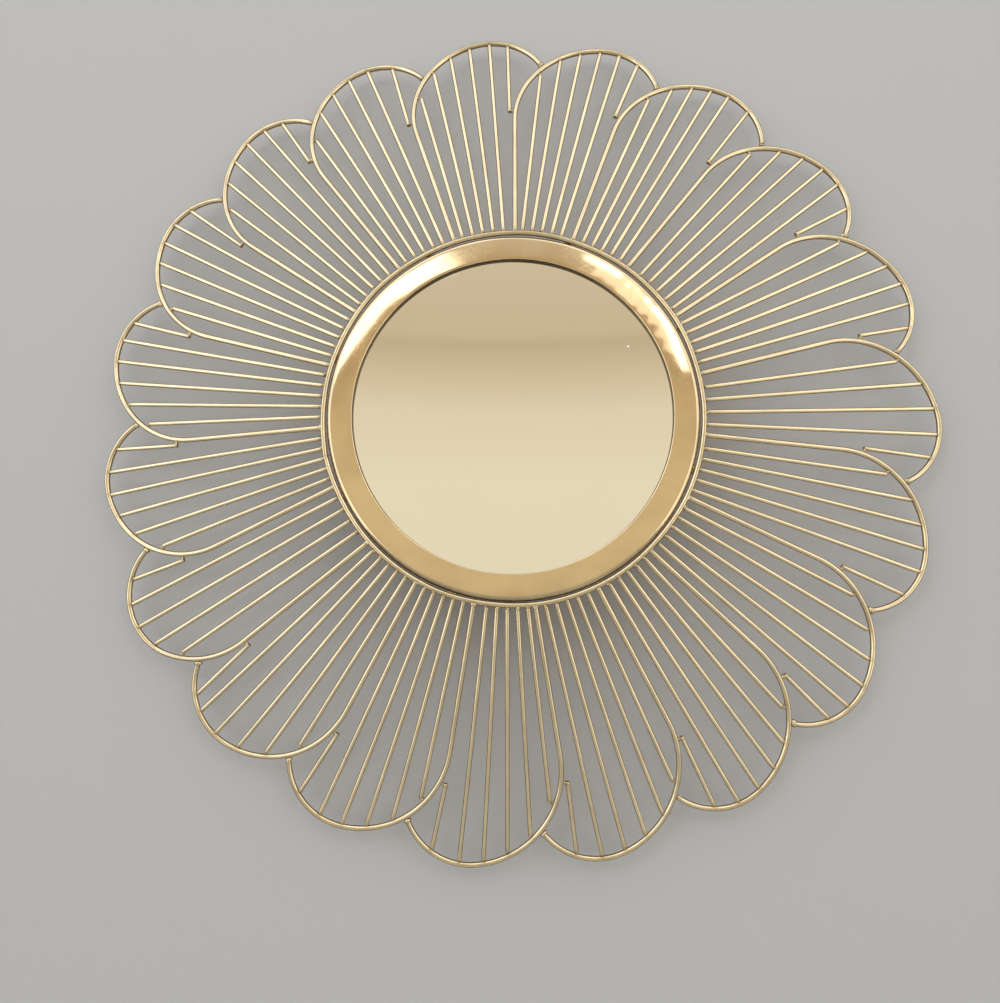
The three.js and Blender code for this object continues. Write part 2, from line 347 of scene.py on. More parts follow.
def frame_profile():
    """The section of the pressed sheet as radius and y: out round the shoulder, in along the band,
    over the rolled lip, and back along the inner face. The band's slope falls from the crown angle
    at the shoulder to nothing at the lip, as a power of the share of the way that is left."""
    middle = (BAND_START, SHOULDER_RADIUS - CREST_STANDOFF)
    wall_front = np.linspace((PAN_RADIUS, 0.0), (PAN_RADIUS, middle[1]), 12)
    shoulder = arc_points(middle, SHOULDER_RADIUS, 0, 90 - CROWN_DEG, 13)[1:]
    left = np.linspace(1, 0, 14)[1:]
    band_end = LIP_RADIUS + LIP_ROLL
    width = shoulder[-1, 0] - band_end
    fall = (shoulder[-1, 1] + LIP_STANDOFF) * left ** (CROWN_POWER + 1)
    band = np.stack([band_end + left * width, fall - LIP_STANDOFF], -1)
    roll = arc_points((band_end, LIP_ROLL - LIP_STANDOFF), LIP_ROLL, 90, 180, 6)[1:]
    lip_back = LIP_DEPTH - LIP_STANDOFF
    lip_outside = LIP_RADIUS + SHEET
    behind = [(LIP_RADIUS, lip_back - 0.0001), (LIP_RADIUS, lip_back), (lip_outside, lip_back),
              (lip_outside, SHEET - LIP_STANDOFF)]
    inner = arc_points(middle, SHOULDER_RADIUS - SHEET, 90, 0, 7)
    return np.concatenate([wall_front, shoulder, band, roll, behind, inner,
                           [(PAN_RADIUS - SHEET, 0.0)]])


def hand_work(around, across):
    """How far hand pressing leaves the front face from true: slow waves round the frame that
    change across it, each with its height, count, phase and drift, fine ripples in one quarter,
    and ripples drawn over the shoulder."""
    slow = sum(height * np.sin(count * around + phase + drift * across)
               for height, count, phase, drift in HAND_WAVES)
    rippled = np.exp(-((around - RIPPLES_AT) / RIPPLES_SPREAD) ** 2)
    ripples = np.sin(61 * around + 2 * np.sin(7 * around) + 90 * across)
    slow = slow + RIPPLE_HEIGHT * rippled * ripples
    drawn = DRAWN_HEIGHT * np.sin(150 * around) * (1 + np.sin(3 * around + 0.5)) / 2
    return slow, drawn


profile = frame_profile()
steps_along = np.linalg.norm(np.diff(profile, axis=0), axis=1)
across = np.concatenate([[0.0], np.cumsum(steps_along)])[None, :]
around = np.linspace(0, 2 * np.pi, FRAME_STEPS, endpoint=False)[:, None]
on_front = np.clip((-profile[:, 1] - FRONT_FROM) / FRONT_BLEND, 0, 1)[None, :]
past_shoulder = profile[:, 0] - BAND_START - SHOULDER_OUT
on_shoulder = np.exp(-(past_shoulder / SHOULDER_SPREAD) ** 2)[None, :]
# The lip's inner wall, painted in the dark tone as the shade of the deep reveal round the glass.
on_lip_wall = profile[:, 0] < LIP_RADIUS + LIP_SLACK
in_lip = (on_lip_wall & (profile[:, 1] > -LIP_STANDOFF + LIP_EDGE))[None, :]
by_lip = np.exp(-((profile[:, 0] - LIP_RADIUS) / LIP_SPREAD) ** 2)[None, :]
notch = np.exp(-((around - np.radians(NOTCH_DEG)) / NOTCH_SPREAD) ** 2)
slow, drawn = hand_work(around, across)
radius = profile[None, :, 0] + on_shoulder * drawn - NOTCH_DEPTH * notch * by_lip
depth = profile[None, :, 1] + on_front * slow
points = np.stack([radius * np.sin(around), np.broadcast_to(depth, radius.shape),
                   radius * np.cos(around)], -1).reshape(-1, 3)
pressed = made_mesh("pressed_frame", points, grid_faces(FRAME_STEPS, len(profile), True)[:, ::-1])
spun = np.stack(np.broadcast_arrays(
    across, SPUN_RADIUS * np.sin(around), SPUN_RADIUS * np.cos(around)), -1)
spinning = pressed.data.attributes.new("spun", "FLOAT_VECTOR", "POINT")
spinning.data.foreach_set("vector", spun.ravel())
# Painted shade and dark reflection in the crevice at the top of the pan wall, by the gap to the
# ring.
crevice = np.exp(-((across[0] - CREVICE_ALONG) / CREVICE_REACH) ** 2)[None, :]
# Painted dark reflection on the shoulder, all round but deepest at the lower left.
darkest_reflection = np.exp(-((around - DARKEST_REFLECTION_AT) / DARKEST_REFLECTION_SPREAD) ** 2)
near_side = LEAST_SHOULDER_REFLECTION + (1 - LEAST_SHOULDER_REFLECTION) * darkest_reflection
# The frame's mask of painted shade and dark reflection, which its material reads.
painted_shade = SHOULDER_REFLECTION * on_shoulder * near_side + CREVICE_SHADE * crevice + LIP_SHADE * in_lip
painted_shade = painted_shade.ravel()
pressed.data.attributes.new("browning_and_painted_shade", "FLOAT", "POINT").data.foreach_set("value", painted_shade)


def group_socket(group, name, kind, way, value=None):
    """A named input or output of a shader node group."""
    socket = group.interface.new_socket(name=name, in_out=way, socket_type=kind)
    if value is not None:
        socket.default_value = value


def tone_group():
    """Brass as it ages under lacquer: slow clouds between two close tones, and a dark tone where
    the mask says, broken up by a finer noise. The mask is weld heat and painted shade at the edges
    on the wires, and painted shade and dark reflection on the frame."""
    group = bpy.data.node_groups.new("brass_tone", "ShaderNodeTree")
    group_socket(group, "Bright", "NodeSocketColor", "INPUT", POLISHED)
    group_socket(group, "Dark", "NodeSocketColor", "INPUT", PAINTED_SHADE_TONE)
    group_socket(group, "Mask", "NodeSocketFloat", "INPUT", 0.0)
    group_socket(group, "Cloud size", "NodeSocketFloat", "INPUT", 0.03)
    group_socket(group, "Color", "NodeSocketColor", "OUTPUT")
    group_socket(group, "Darkened", "NodeSocketFloat", "OUTPUT")
    given = add_node(group, "NodeGroupInput")
    where = add_node(group, "ShaderNodeTexCoord").outputs["Object"]
    scale = add_node(group, "ShaderNodeMath", {0: 1.0, 1: given.outputs["Cloud size"]},
                     operation="DIVIDE")
    clouds = add_node(group, "ShaderNodeTexNoise", {
        "Vector": where, "Scale": scale.outputs[0], "Detail": 3.0, "Roughness": 0.55})
    slight = add_node(group, "ShaderNodeMapRange", {
        "Value": clouds.outputs["Fac"], "From Min": 0.35, "From Max": 0.7,
        "To Max": CLOUD_SHARE})
    fine = add_node(group, "ShaderNodeTexNoise", {
        "Vector": where, "Scale": GRAIN_SCALE, "Detail": 4.0, "Roughness": 0.7})
    broken = add_node(group, "ShaderNodeMapRange", {
        "Value": fine.outputs["Fac"], "From Min": 0.25, "From Max": 0.7,
        "To Min": GRAIN_SHARES[0], "To Max": GRAIN_SHARES[1]})
    browned = add_node(group, "ShaderNodeMath", {
        0: given.outputs["Mask"], 1: broken.outputs[0]}, operation="MULTIPLY", use_clamp=True)
    both = add_node(group, "ShaderNodeMath", {
        0: browned.outputs[0], 1: slight.outputs[0]}, operation="ADD", use_clamp=True)
    tone = add_node(group, "ShaderNodeMix", {
        0: both.outputs[0], 6: given.outputs["Bright"], 7: given.outputs["Dark"]},
        data_type="RGBA")
    add_node(group, "NodeGroupOutput", {
        "Color": tone.outputs[2], "Darkened": browned.outputs[0]})
    return group


def scratch_group():
    """Hairline scratches: noise drawn out long in three directions across the face, of which only
    the highest streaks are kept."""
    group = bpy.data.node_groups.new("hairline_scratches", "ShaderNodeTree")
    group_socket(group, "Length", "NodeSocketFloat", "INPUT", 0.02)
    group_socket(group, "Width", "NodeSocketFloat", "INPUT", 0.0004)
    group_socket(group, "Kept above", "NodeSocketFloat", "INPUT", 0.735)
    group_socket(group, "Scratches", "NodeSocketFloat", "OUTPUT")
    given = add_node(group, "NodeGroupInput")
    where = add_node(group, "ShaderNodeTexCoord").outputs["Object"]
    along = add_node(group, "ShaderNodeMath", {
        0: 1.0, 1: given.outputs["Length"]}, operation="DIVIDE")
    aside = add_node(group, "ShaderNodeMath", {
        0: 1.0, 1: given.outputs["Width"]}, operation="DIVIDE")
    stretch = add_node(group, "ShaderNodeCombineXYZ", {
        "X": along.outputs[0], "Y": aside.outputs[0], "Z": aside.outputs[0]})
    found = None
    for tilt in SCRATCH_TILTS:
        turned = add_node(group, "ShaderNodeVectorRotate", {
            "Vector": where, "Angle": tilt}, rotation_type="Y_AXIS")
        drawn_out = add_node(group, "ShaderNodeVectorMath", {
            0: turned.outputs[0], 1: stretch.outputs[0]}, operation="MULTIPLY")
        streaks = add_node(group, "ShaderNodeTexNoise", {
            "Vector": drawn_out.outputs[0], "Scale": 1.0, "Detail": 1.0})
        kept = add_node(group, "ShaderNodeMath", {
            0: streaks.outputs["Fac"], 1: given.outputs["Kept above"]}, operation="GREATER_THAN")
        if found is not None:
            kept = add_node(group, "ShaderNodeMath", {0: found, 1: kept.outputs[0]},
                            operation="MAXIMUM")
        found = kept.outputs[0]
    add_node(group, "NodeGroupOutput", {"Scratches": found})
    return group


brass_tone = tone_group()
hairlines = scratch_group()

polished_brass, tree, shader = new_material("polished_brass", metallic=1.0)
# The frame's dark tone follows its mask of painted shade and dark reflection.
painted_shade_mask = add_node(tree, "ShaderNodeAttribute", attribute_name="browning_and_painted_shade")
tone = add_node(tree, "ShaderNodeGroup", node_tree=brass_tone)
tree.links.new(painted_shade_mask.outputs["Fac"], tone.inputs["Mask"])
tree.links.new(tone.outputs["Color"], shader.inputs["Base Color"])
scratches = add_node(tree, "ShaderNodeGroup", node_tree=hairlines)
wheel = add_node(tree, "ShaderNodeAttribute", attribute_name="spun")
lines = add_node(tree, "ShaderNodeVectorMath", {
    0: wheel.outputs["Vector"], 1: WHEEL_LINES}, operation="MULTIPLY")
wheel_marks = add_node(tree, "ShaderNodeTexNoise", {
    "Vector": lines.outputs[0], "Scale": 1.0, "Detail": 3.0, "Roughness": 0.6})
marked = add_node(tree, "ShaderNodeMapRange", {
    "Value": wheel_marks.outputs["Fac"], "From Min": 0.3, "From Max": 0.75,
    "To Min": WHEEL_ROUGHNESS[0], "To Max": WHEEL_ROUGHNESS[1]})
darkened_rough = add_node(tree, "ShaderNodeMath", {
    0: tone.outputs["Darkened"], 1: DARKENED_ROUGHNESS, 2: marked.outputs[0]},
    operation="MULTIPLY_ADD")
scored = add_node(tree, "ShaderNodeMath", {
    0: scratches.outputs[0], 1: SCRATCH_ROUGHNESS, 2: darkened_rough.outputs[0]}, operation="MULTIPLY_ADD")
tree.links.new(scored.outputs[0], shader.inputs["Roughness"])
relief = add_node(tree, "ShaderNodeMath", {
    0: scratches.outputs[0], 1: SCRATCH_DEPTH, 2: wheel_marks.outputs["Fac"]},
    operation="MULTIPLY_ADD")
bump = add_node(tree, "ShaderNodeBump", {
    "Height": relief.outputs[0], "Strength": 0.2, "Distance": 0.00002})
tree.links.new(bump.outputs[0], shader.inputs["Normal"])
pressed.data.materials.append(polished_brass)
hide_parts("mirror_frame")
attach(pressed, "root")


# The back board. A disc of painted fibreboard that closes the pan and lies against the wall. It
# is hidden in use, so it is plain, with a small bevel and the dull nap of the pressed fibre.
BOARD_THICKNESS = 0.004
BOARD_CLEARANCE = 0.0003
BOARD_RADIUS = PAN_RADIUS - SHEET - BOARD_CLEARANCE
BOARD_BEVEL = 0.0004
BOARD_STEPS = 192
BOARD_PAINT = (0.09, 0.07, 0.055, 1.0)
BOARD_WORN = (0.15, 0.12, 0.09, 1.0)
BOARD_ROUGHNESS = (0.7, 0.95)
NAP_SCALE = 900.0
RUBBED_SCALE = 22.0
RUBBED_SHARE = 0.7

board_profile = np.array([
    (BOARD_RADIUS * 0.5, 0.0), (BOARD_RADIUS - BOARD_BEVEL, 0.0), (BOARD_RADIUS, -BOARD_BEVEL),
    (BOARD_RADIUS, BOARD_BEVEL - BOARD_THICKNESS),
    (BOARD_RADIUS - BOARD_BEVEL, -BOARD_THICKNESS), (BOARD_RADIUS * 0.5, -BOARD_THICKNESS)])
around = np.linspace(0, 2 * np.pi, BOARD_STEPS, endpoint=False)[:, None]
points = np.stack([board_profile[:, 0] * np.sin(around), board_profile[:, 1] + 0 * around,
                   board_profile[:, 0] * np.cos(around)], -1).reshape(-1, 3)
rows = len(board_profile)
board_faces = grid_faces(BOARD_STEPS, rows, True)
board_faces = board_faces[board_faces.max(1) - board_faces.min(1) != rows - 1]
board_middle = np.array([[0.0, 0.0, 0.0], [0.0, -BOARD_THICKNESS, 0.0]])
starts = np.arange(BOARD_STEPS) * rows
nexts = np.roll(starts, -1)
back_middle = np.full(BOARD_STEPS, len(points))
back_fan = np.stack([back_middle, nexts, starts], -1)
front_fan = np.stack([back_middle + 1, starts + rows - 1, nexts + rows - 1], -1)
board = made_mesh("fibre_board", np.concatenate([points, board_middle]),
                  board_faces[:, ::-1].tolist() + back_fan.tolist() + front_fan.tolist())

board_paint, tree, shader = new_material("painted_fibreboard")
where = add_node(tree, "ShaderNodeTexCoord").outputs["Object"]
nap = add_node(tree, "ShaderNodeTexNoise", {
    "Vector": where, "Scale": NAP_SCALE, "Detail": 5.0, "Roughness": 0.75})
rubbed = add_node(tree, "ShaderNodeTexNoise", {
    "Vector": where, "Scale": RUBBED_SCALE, "Detail": 5.0})
rubbing = add_node(tree, "ShaderNodeMapRange", {
    "Value": rubbed.outputs["Fac"], "From Min": 0.5, "From Max": 0.72,
    "To Max": RUBBED_SHARE})
paint = add_node(tree, "ShaderNodeMix", {
    0: rubbing.outputs[0], 6: BOARD_PAINT, 7: BOARD_WORN}, data_type="RGBA")
dull = add_node(tree, "ShaderNodeMapRange", {
    "Value": nap.outputs["Fac"], "To Min": BOARD_ROUGHNESS[0], "To Max": BOARD_ROUGHNESS[1]})
bump = add_node(tree, "ShaderNodeBump", {
    "Height": nap.outputs["Fac"], "Strength": 0.5, "Distance": 0.0001})
tree.links.new(paint.outputs[2], shader.inputs["Base Color"])
tree.links.new(dull.outputs[0], shader.inputs["Roughness"])
tree.links.new(bump.outputs[0], shader.inputs["Normal"])
board.data.materials.append(board_paint)
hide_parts("back_board")
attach(board, "root")


# The ring wire. A hoop of drawn brass wire, butt welded into a ring on the left, that every
# other wire is welded to. It is tacked at the back to the frame's pan wall.
RING_RADIUS = 0.13125
RING_WIRE = 0.0035
RING_STANDOFF = 0.036
RING_STEPS = 570
RING_SIDES = 16
RING_JOINT_DEG = 257.0
RING_KINK = 0.0005
RING_KINK_DEG = 2.2
RING_WANDER = (0.00018, 0.00012)
TACKS = 8
TACK_BEHIND = 0.0021
HEAT_REACH = 0.0015
HEAT_SHARE = 0.75
STAIN_REACH = 0.0055
STAIN_SHARE = 0.22
WIRE_BRIGHT = (0.77, 0.65, 0.435, 1.0)
WIRE_BROWN_AND_EDGE_SHADE = (0.15, 0.095, 0.045, 1.0)
# Where the painted shade at the wires' edges starts, and how far it goes into the dark tone.
PAINTED_EDGE_STARTS = 0.42
PAINTED_EDGE_SHARE = 0.30
WIRE_CLOUD_SIZE = 0.02
DIE_LINES = (4.5, 4.5, 35.0)
WIRE_ROUGHNESS = (0.16, 0.30)
DARKENED_WIRE_ROUGHNESS = 0.22
JOINT_BEAD = (0.0009, 0.00195, 0.00195)
TACK_BEAD = (0.0032, 0.0011, 0.0010)
BEAD_SIDES = 8
BEAD_RINGS = 4
BEAD_DRAWN_SCALE = 100

# How each petal was bent and welded, clockwise from the top left, in degrees and metres: its full
# ribs, how far its leg swings from an even flower's, how far its foot leads the leg, how much
# longer the leg is, where the first and last rib and the short rib meet the arc, how far the
# ribs' feet are shifted, how far out the short rib is welded, and how far the shoulder is bent.
PETALS = [
    {"ribs": 5, "swing": -0.1, "lean": 0.1, "out": -0.0005, "heads": (-1.4, 10.6), "short": 13.3,
     "feet": -0.4, "weld": 0.237},
    {"ribs": 5, "swing": -0.4, "lean": 0.5, "out": -0.0015, "heads": (-0.3, 11.1), "short": 14.1,
     "feet": -0.8, "weld": 0.244},
    {"ribs": 5, "swing": -0.7, "lean": -0.1, "out": -0.001, "heads": (-1.2, 9.3), "short": 12.9,
     "feet": 0, "weld": 0.241},
    {"ribs": 5, "swing": -1, "lean": 0.2, "out": -0.0005, "heads": (-1.5, 10.7), "short": 14.4,
     "feet": 1, "weld": 0.247},
    {"ribs": 5, "swing": -0.6, "lean": 1.9, "out": -0.001, "heads": (-0.5, 11.6), "short": 15,
     "feet": -0.3, "weld": 0.255},
    {"ribs": 4, "swing": -0.2, "lean": 1.8, "out": -0.001, "heads": (0.7, 11.4), "short": 14.7,
     "feet": 0.6, "weld": 0.246},
    {"ribs": 5, "swing": 0.2, "lean": 1.2, "out": -0.001, "heads": (-0.9, 11.3), "short": 15,
     "feet": 0.8, "weld": 0.248},
    {"ribs": 5, "swing": 0.8, "lean": 1, "out": 0, "heads": (-0.6, 12.5), "short": 15.4,
     "feet": 0.2, "weld": 0.255},
    {"ribs": 5, "swing": 0.5, "lean": 1.6, "out": 0, "heads": (0, 12.3), "short": 15.3,
     "feet": -0.3, "weld": 0.245},
    {"ribs": 5, "swing": 0.8, "lean": 1, "out": 0.001, "heads": (0, 12), "short": 15.2,
     "feet": 0.2, "weld": 0.250},
    {"ribs": 5, "swing": 0.6, "lean": 1.1, "out": 0.002, "heads": (-1, 11.3), "short": 15,
     "feet": -0.8, "weld": 0.254},
    {"ribs": 5, "swing": -0.1, "lean": 0.7, "out": 0.001, "heads": (-1.1, 11.3), "short": 15,
     "feet": 0, "weld": 0.248},
    {"ribs": 5, "swing": -0.3, "lean": -0.1, "out": -0.0005, "heads": (-0.7, 13.3), "short": 15.3,
     "feet": 0.2, "weld": 0.242},
    {"ribs": 4, "swing": 1.6, "lean": -2.4, "out": 0.008, "heads": (2.3, 11.8), "short": 14.9,
     "feet": 0.5, "weld": 0.254, "turn": 57},
    {"ribs": 5, "swing": -0.8, "lean": 0.7, "out": -0.004, "heads": (-1.2, 11.7), "short": 14.9,
     "feet": -0.2, "weld": 0.242},
    {"ribs": 5, "swing": 0.2, "lean": -0.6, "out": -0.0025, "heads": (-0.5, 12.2), "short": 15,
     "feet": 0, "weld": 0.246},
    {"ribs": 5, "swing": 0.5, "lean": -0.3, "out": 0, "heads": (-0.2, 11.9), "short": 14.9,
     "feet": -0.1, "weld": 0.242},
    {"ribs": 5, "swing": 0.2, "lean": -0.5, "out": 0.001, "heads": (-0.4, 12.2), "short": 15,
     "feet": -0.4, "weld": 0.253},
    {"ribs": 5, "swing": -0.2, "lean": 0, "out": 0.001, "heads": (-1.3, 11), "short": 14.6,
     "feet": -0.3, "weld": 0.241},
]
PETAL_PITCH_DEG = 360 / len(PETALS)
FIRST_PETAL_DEG = -14.0
LEG_DEG = -4.0
DISH_SLOPE = 0.15
chance = np.random.default_rng(19)


def even_angle(number):
    """The place of a petal in an even flower, in degrees clockwise from the top."""
    return FIRST_PETAL_DEG + PETAL_PITCH_DEG * number


def leg_angle(number):
    """The direction that a petal's leg points in: its even place, less the leg's lead, plus the
    swing that its hand bending gave it."""
    return even_angle(number) + LEG_DEG + PETALS[number % len(PETALS)]["swing"]


def foot_angle(number):
    """Where on the ring a petal's leg is welded: its direction plus its lean."""
    return leg_angle(number) + PETALS[number % len(PETALS)]["lean"]


def rib_foot_angles(number):
    """Where on the ring a petal's ribs are welded: shared out evenly between its leg and the
    next, plus the shift that this petal's feet have."""
    petal = PETALS[number % len(PETALS)]
    share = (np.arange(petal["ribs"]) + 1) / (petal["ribs"] + 1)
    first, last = foot_angle(number), foot_angle(number + 1)
    return first + (last - first) * share + petal["feet"]


def flat(radius, degrees):
    """Points in the flower's own plane, as X and Z, from radius and angle clockwise."""
    angle = np.radians(degrees)
    return np.stack(np.broadcast_arrays(radius * np.sin(angle), radius * np.cos(angle)), -1)


def dished(points):
    """Flat points set back towards the wall: Y is the slope times the distance outside the ring,
    less the ring's standoff."""
    set_back = DISH_SLOPE * (np.linalg.norm(points, axis=-1) - RING_RADIUS) - RING_STANDOFF
    return np.stack([points[..., 0], set_back, points[..., 1]], -1)


def unit(vectors):
    """The same directions with length one."""
    return vectors / np.linalg.norm(vectors, axis=-1, keepdims=True)


def weld_beads(centres, along, sizes):
    """Lumps of weld metal. Each is a ball of rings of points with a pole at both ends, stretched
    by its three half sizes along its weld, across it and to the front, with a lumpy radius of two
    crossed waves."""
    count = len(centres)
    around = np.linspace(0, 2 * np.pi, BEAD_SIDES, endpoint=False)
    height = np.cos(np.pi * np.arange(1, BEAD_RINGS + 1) / (BEAD_RINGS + 1))
    ball = np.stack([np.outer(np.sqrt(1 - height ** 2), np.cos(around)).ravel(),
                     np.outer(np.sqrt(1 - height ** 2), np.sin(around)).ravel(),
                     np.repeat(height, BEAD_SIDES)], -1)
    ball = np.concatenate([ball, [(0, 0, 1), (0, 0, -1)]])
    phase = chance.uniform(0, 2 * np.pi, (count, 2, 1))
    lumps = (1 + 0.13 * np.sin(3 * ball[:, 0] + 2 * ball[:, 2] + phase[:, 0])
             + 0.10 * np.sin(5 * ball[:, 1] - 3 * ball[:, 2] + phase[:, 1]))
    front = np.broadcast_to(np.array([0.0, -1.0, 0.0]), along.shape)
    across = unit(np.cross(along, front))
    front = np.cross(across, along)
    shape = ball[None] * lumps[..., None] * np.asarray(sizes)[:, None, :]
    points = (centres[:, None] + shape[..., :1] * along[:, None] + shape[..., 1:2] * across[:, None]
              + shape[..., 2:] * front[:, None])
    first = np.arange(BEAD_SIDES)
    after = (first + 1) % BEAD_SIDES
    last = (BEAD_RINGS - 1) * BEAD_SIDES
    quads = np.concatenate([np.stack([row + first, row + BEAD_SIDES + first,
                                      row + BEAD_SIDES + after, row + after], -1)
                            for row in range(0, last, BEAD_SIDES)])
    pole = np.full(BEAD_SIDES, last + BEAD_SIDES)
    caps = np.concatenate([np.stack([pole, first, after], -1),
                           np.stack([pole + 1, last + after, last + first], -1)])
    shift = np.arange(count)[:, None, None] * len(ball)
    faces = (quads[None] + shift).reshape(-1, 4).tolist()
    faces += (caps[None] + shift).reshape(-1, 3).tolist()
    return points.reshape(-1, 3), faces


def heat_from(points, spots):
    """How strongly each point was heated: a narrow bell curve of its distance to the nearest weld,
    for the burnt metal, plus a wide weak one, for the stain round it."""
    distance = np.linalg.norm(points[:, None] - spots[None], axis=-1).min(1)
    burnt = HEAT_SHARE * np.exp(-(distance / HEAT_REACH) ** 2)
    return burnt + STAIN_SHARE * np.exp(-(distance / STAIN_REACH) ** 2)


def give_wire_marks(piece, drawn, heat):
    """Puts on a piece the way its wire was drawn, and where welding browned it."""
    mesh = piece.data
    mesh.attributes.new("drawn", "FLOAT_VECTOR", "POINT").data.foreach_set("vector", drawn.ravel())
    mesh.attributes.new("browning_and_painted_shade", "FLOAT", "POINT").data.foreach_set("value", heat)


ring_foot_degs = np.concatenate(
    [np.append(rib_foot_angles(n), foot_angle(n)) for n in range(len(PETALS))])
ring_foot_spots = dished(flat(RING_RADIUS + RING_WIRE / 2, ring_foot_degs))

around_deg = np.linspace(0, 360, RING_STEPS, endpoint=False)[:, None]
round_wire = np.linspace(0, 2 * np.pi, RING_SIDES, endpoint=False)[None, :]
past_joint = (around_deg - RING_JOINT_DEG + 180) % 360 - 180
kink = RING_KINK * np.exp(-np.abs(past_joint) / RING_KINK_DEG)
around = np.radians(around_deg)
wander = RING_WANDER[0] * np.sin(around * 7 + 1.2) + RING_WANDER[1] * np.sin(around * 13)
radius = RING_RADIUS + kink + wander + RING_WIRE / 2 * np.cos(round_wire)
depth = -RING_STANDOFF - RING_WIRE / 2 * np.sin(round_wire) + 0 * around_deg
ring_points = np.stack([radius * np.sin(around), depth, radius * np.cos(around)], -1)
ring_points = ring_points.reshape(-1, 3)
ring_drawn = np.stack(np.broadcast_arrays(
    np.cos(round_wire), np.sin(round_wire), RING_RADIUS * around), -1).reshape(-1, 3)
joint_spot = dished(flat(RING_RADIUS + RING_KINK, np.array([RING_JOINT_DEG])))
joint_along = unit(np.cross(joint_spot, [0.0, 1.0, 0.0]))
tack_degs = 360 * (np.arange(TACKS) + 0.4) / TACKS
tack_spots = dished(flat((PAN_RADIUS + RING_RADIUS - RING_WIRE / 2) / 2, tack_degs))
tack_spots[:, 1] += TACK_BEHIND
tack_along = unit(np.cross(tack_spots, [0.0, 1.0, 0.0]))
bead_points, bead_faces = weld_beads(
    np.concatenate([joint_spot, tack_spots]), np.concatenate([joint_along, tack_along]),
    [JOINT_BEAD] + [TACK_BEAD] * TACKS)
ring_faces = grid_faces(RING_STEPS, RING_SIDES, True).tolist()
ring_faces += [[corner + len(ring_points) for corner in face] for face in bead_faces]
ring_all = np.concatenate([ring_points, bead_points])
welded_ring = made_mesh("welded_ring", ring_all, ring_faces)
weld_spots = np.concatenate([ring_foot_spots, joint_spot, tack_spots])
give_wire_marks(welded_ring, np.concatenate([ring_drawn, BEAD_DRAWN_SCALE * bead_points]),
                heat_from(ring_all, weld_spots))

drawn_wire, tree, shader = new_material("drawn_brass_wire", metallic=1.0)
burnt = add_node(tree, "ShaderNodeAttribute", attribute_name="browning_and_painted_shade")
drawing = add_node(tree, "ShaderNodeAttribute", attribute_name="drawn")
# Painted shade: the wires' edges take the dark tone where they turn away from the eye, standing in
# for dark reflections along their sides. Weld heat takes the same tone.
facing = add_node(tree, "ShaderNodeLayerWeight", {"Blend": 0.5})
painted_dark_edge = add_node(tree, "ShaderNodeMapRange", {
    "Value": facing.outputs["Facing"], "From Min": PAINTED_EDGE_STARTS, "To Max": PAINTED_EDGE_SHARE})
heat_and_painted_edge = add_node(tree, "ShaderNodeMath", {
    0: burnt.outputs["Fac"], 1: painted_dark_edge.outputs[0]}, operation="MAXIMUM")
tone = add_node(tree, "ShaderNodeGroup", {
    "Bright": WIRE_BRIGHT, "Dark": WIRE_BROWN_AND_EDGE_SHADE, "Mask": heat_and_painted_edge.outputs[0],
    "Cloud size": WIRE_CLOUD_SIZE}, node_tree=brass_tone)
tree.links.new(tone.outputs["Color"], shader.inputs["Base Color"])
die_lines = add_node(tree, "ShaderNodeVectorMath", {
    0: drawing.outputs["Vector"], 1: DIE_LINES}, operation="MULTIPLY")
die_marks = add_node(tree, "ShaderNodeTexNoise", {
    "Vector": die_lines.outputs[0], "Scale": 1.0, "Detail": 3.0, "Roughness": 0.65})
drawn_rough = add_node(tree, "ShaderNodeMapRange", {
    "Value": die_marks.outputs["Fac"], "From Min": 0.3, "From Max": 0.7,
    "To Min": WIRE_ROUGHNESS[0], "To Max": WIRE_ROUGHNESS[1]})
darkened_wire_rough = add_node(tree, "ShaderNodeMath", {
    0: tone.outputs["Darkened"], 1: DARKENED_WIRE_ROUGHNESS, 2: drawn_rough.outputs[0]},
    operation="MULTIPLY_ADD")
tree.links.new(darkened_wire_rough.outputs[0], shader.inputs["Roughness"])
bump = add_node(tree, "ShaderNodeBump", {
    "Height": die_marks.outputs["Fac"], "Strength": 0.35, "Distance": 0.00006})
tree.links.new(bump.outputs[0], shader.inputs["Normal"])
welded_ring.data.materials.append(drawn_wire)
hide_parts("ring_wire")
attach(welded_ring, "root")


# The petals. Each is one length of drawn brass wire with a straight leg and two bends, butted
# against the next petal, and a grille of thinner straight ribs welded between it and the ring.
PETAL_WIRE = 0.0035
RIB_WIRE = 0.0030
PETAL_SIDES = 14
RIB_SIDES = 12
LEG_END_RADIUS = 0.2325
LEG_LENGTH = 0.1
LEG_EVEN_FROM = 0.28
TIP_SAMPLES = 3000
SHOULDER_BEND = 0.064
SHOULDER_TURN_DEG = 92
TIP_BEND = 0.0445
TIP_TURN_DEG = 120
BEND_STEP_DEG = 1.5
WELD_SINK = 0.0003
RIM_SHARE = 0.16
RIB_STEPS = np.array([0.0, 0.0012, 0.0025, 0.0045, 0.007, 0.011, 0.018])
FOOT_GAPS = (-0.0001, 0.0008)
FOOT_SHIFT = 0.0004
HEAD_GAPS = (-0.0002, 0.0006)
FIRST_HEAD_GAPS = (0.0008, 0.0016)
LINK_GAP = 0.0011
FOOT_BEAD = (0.0015, 0.0009, 0.00145)
PEG_BEAD = (0.00125, 0.0007, 0.0012)
BUTT_BEAD = (0.0023, 0.0015, 0.0017)
LEG_BEAD = (0.0022, 0.0013, 0.0018)
BEAD_GROWTH = (0.88, 1.22)
LEAST_SINE = 0.25
END_SHARE = 0.4
SMALL_STEP = 0.001
ARC_TONE = 0.10


def bend(start, heading, radius, turn):
    """Points round a bend: about a centre that lies square to the heading on its clockwise side,
    the heading grows evenly up to the whole turn."""
    centre = start + flat(1.0, heading + 90) * radius
    steps = int(np.ceil(turn / BEND_STEP_DEG))
    headings = heading + turn * np.arange(1, steps + 1) / steps
    return centre - flat(1.0, headings + 90) * radius


